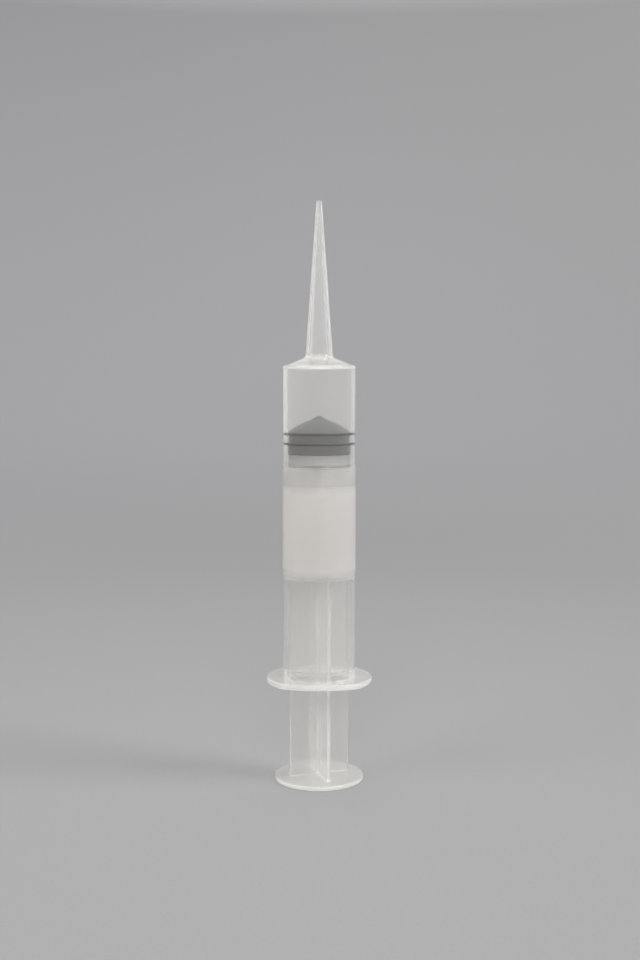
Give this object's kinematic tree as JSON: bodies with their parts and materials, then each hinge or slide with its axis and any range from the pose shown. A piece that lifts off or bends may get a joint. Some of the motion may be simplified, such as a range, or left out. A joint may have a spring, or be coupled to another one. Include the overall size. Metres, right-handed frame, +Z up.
{
  "type": "syringe",
  "caption": "Hand syringe of the 60 ml class that stands on its thumb disc, with a long tapered nozzle, a finger flange, a rubber stopper and a cross-ribbed plunger rod.",
  "frame": {"origin": "centre of the thumb disc's underside, which the syringe stands on", "axes": "+Z up along the syringe's axis towards the nozzle; +X along the finger flange's longer side; -Y to the front"},
  "size_m": [0.0442, 0.0372, 0.2405],
  "materials": {
    "barrel_plastic": "moulded translucent polypropylene, smooth with a slight haze",
    "rod_plastic": "moulded translucent polypropylene, satin",
    "stopper_rubber": "moulded grey rubber, siliconed, matte",
    "label_film": "blank milky film, clear along its top edge"
  },
  "bodies": {
    "plunger": {"plunger_rod": "rod_plastic"},
    "stopper": {"stopper": "stopper_rubber"},
    "barrel": {"barrel": "barrel_plastic", "wrap_label": "label_film"}
  },
  "joints": [
    {"name": "plunger_turn", "type": "hinge", "parent": "plunger", "child": "stopper", "pos_m": [0, 0, 0.14], "axis": [0, 0, 1], "continuous": true},
    {"name": "plunger_travel", "type": "slide", "parent": "stopper", "child": "barrel", "axis": [0, 0, 1], "range_m": [-0.025, 0.0928]}
  ]
}
